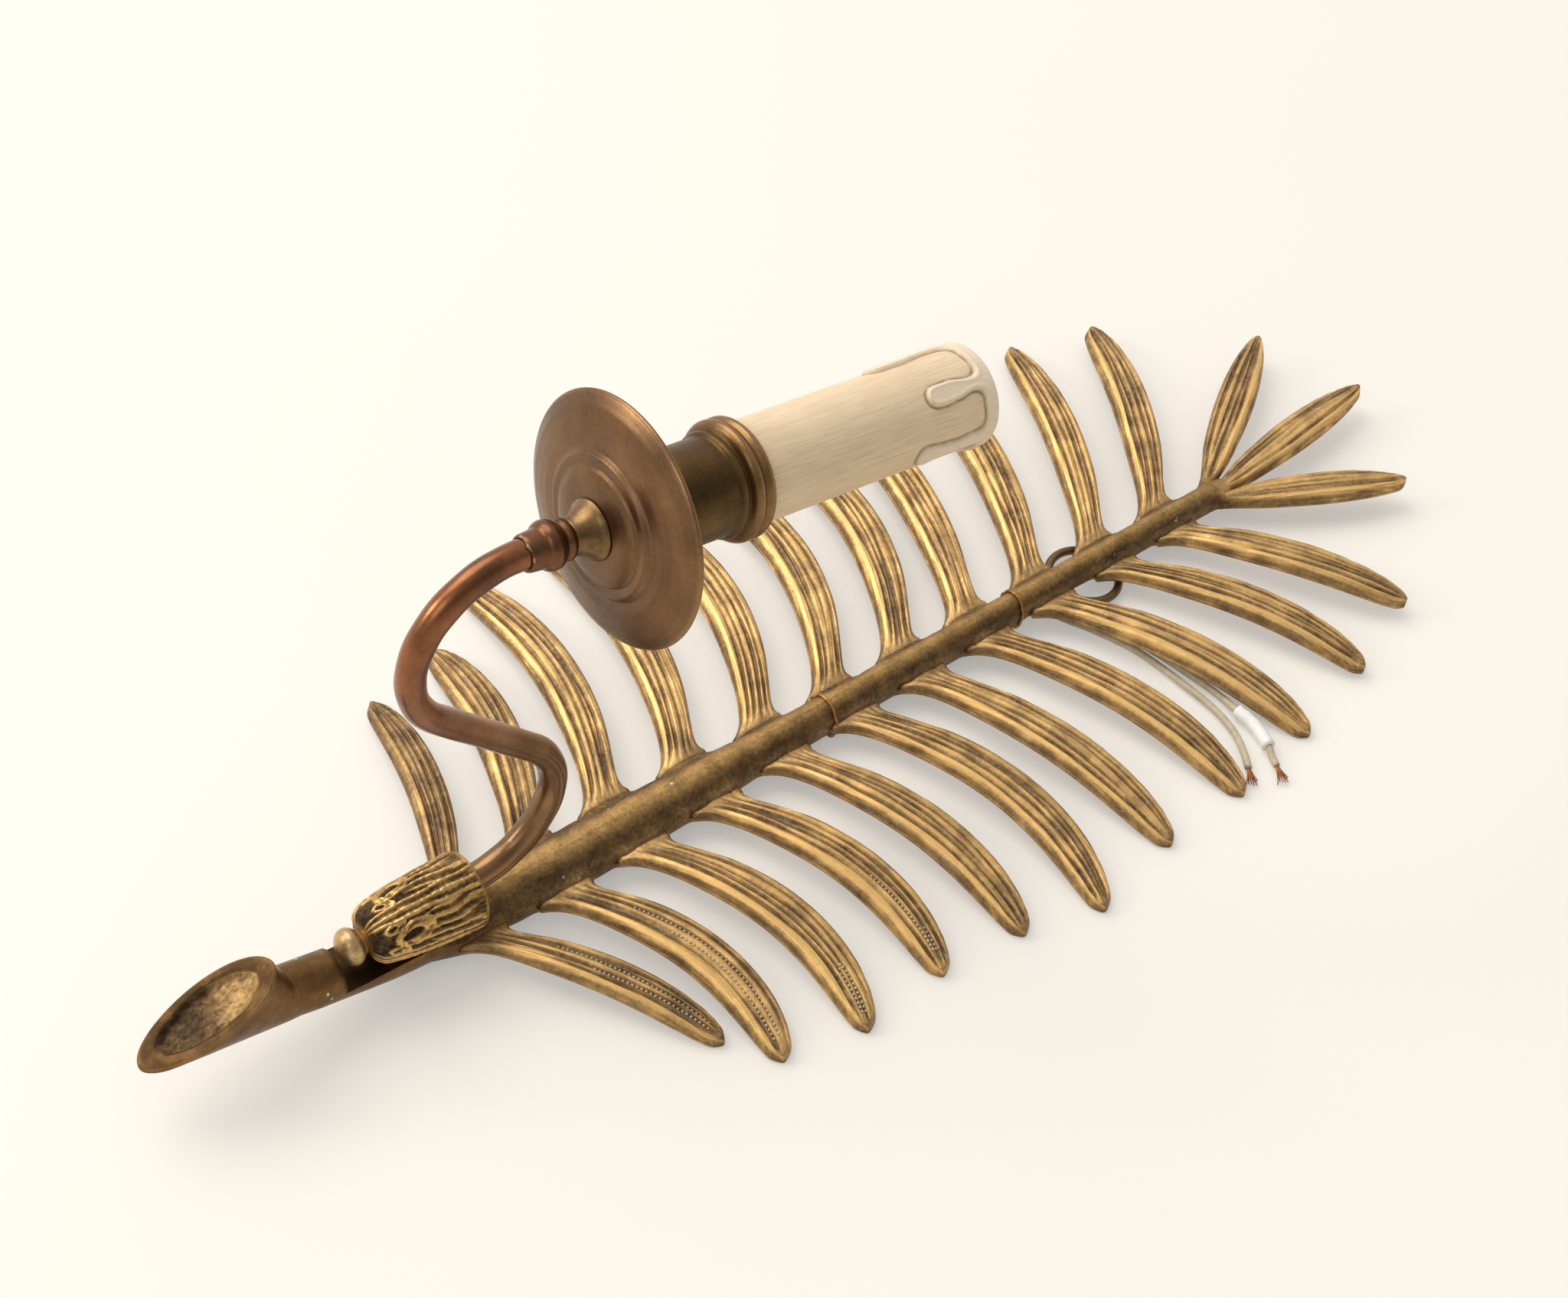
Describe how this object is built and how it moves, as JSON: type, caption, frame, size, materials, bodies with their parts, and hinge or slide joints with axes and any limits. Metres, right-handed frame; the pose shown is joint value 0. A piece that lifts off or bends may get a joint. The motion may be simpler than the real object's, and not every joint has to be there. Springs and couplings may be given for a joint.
{
  "type": "wall lamp",
  "caption": "Wall lamp shaped as a ribbed palm frond, with an S-shaped arm from a leaf-cast bell to a drip pan, cup and sleeved candle lampholder; free wires and hanging ring at the back.",
  "frame": {"origin": "middle of the frond's footprint in the wall's plane, measured without the free wires", "axes": "+X runs up the frond's stalk, which is up the wall when the lamp hangs; +Z points away from the wall; z = 0 is the wall's plane, on which the leaflets' tips rest"},
  "size_m": [0.441, 0.2014, 0.1641],
  "materials": {
    "old_brass": "cast, aged to a brown-grey brass, with the ridges rubbed golden",
    "dark_bronze": "cast, darkened to bronze brown",
    "golden_brass": "golden, with black-brown recesses",
    "lacquered_copper_brown": "glossy reddish brown lacquer over drawn tube",
    "pan_bronze": "spun sheet, satin bronze brown",
    "steel": "plain",
    "porcelain": "white glaze",
    "copper": "bare copper, dulled",
    "wax": "cream, with fine streaks along it",
    "insulation": "old ivory wire insulation",
    "white_sleeve": "white slip-on sleeve"
  },
  "bodies": {
    "lamp": {"stem": "dark_bronze", "leaf_left_1": "old_brass", "leaf_left_2": "old_brass", "leaf_left_3": "old_brass", "leaf_left_4": "old_brass", "leaf_left_5": "old_brass", "leaf_left_6": "old_brass", "leaf_left_7": "old_brass", "leaf_left_8": "old_brass", "leaf_left_9": "old_brass", "leaf_left_10": "old_brass", "leaf_left_11": "old_brass", "leaf_right_1": "old_brass", "leaf_right_2": "old_brass", "leaf_right_3": "old_brass", "leaf_right_4": "old_brass", "leaf_right_5": "old_brass", "leaf_right_6": "old_brass", "leaf_right_7": "old_brass", "leaf_right_8": "old_brass", "leaf_right_9": "old_brass", "leaf_right_10": "old_brass", "leaf_right_11": "old_brass", "leaf_end_left": "old_brass", "leaf_end_middle": "old_brass", "leaf_end_right": "old_brass", "bell": "golden_brass", "finial": "golden_brass", "fixing_screw": "steel", "fixing_washer": "steel", "arm_tube": "lacquered_copper_brown", "collar": "lacquered_copper_brown", "cone_spacer": "golden_brass", "drip_pan": "pan_bronze", "candle_cup": "dark_bronze", "lock_nut": "golden_brass", "holder_carrier": "golden_brass", "holder_body": "porcelain", "holder_shell": "golden_brass", "centre_contact": "copper", "side_contact": "copper", "terminal_screws": "steel", "inner_wire_a": "insulation", "inner_wire_b": "insulation", "tie_lower": "copper", "tie_upper": "copper", "staple": "dark_bronze", "supply_wire_a": "insulation", "supply_wire_b": "insulation", "wire_sleeve": "white_sleeve", "wire_end_a": "copper", "wire_end_b": "copper"},
    "candle_sleeve": {"candle_sleeve": "wax"},
    "hanging_ring": {"hanging_ring": "dark_bronze"}
  },
  "joints": [
    {"name": "sleeve_slide", "type": "slide", "parent": "lamp", "child": "candle_sleeve", "axis": [0.9871, 0, -0.1599], "range_m": [0, 0.072]},
    {"name": "ring_hinge", "type": "hinge", "parent": "lamp", "child": "hanging_ring", "pos_m": [0.08406, -0.00701, 0.0032], "axis": [0, 1, 0], "range_deg": [0, 90]}
  ]
}
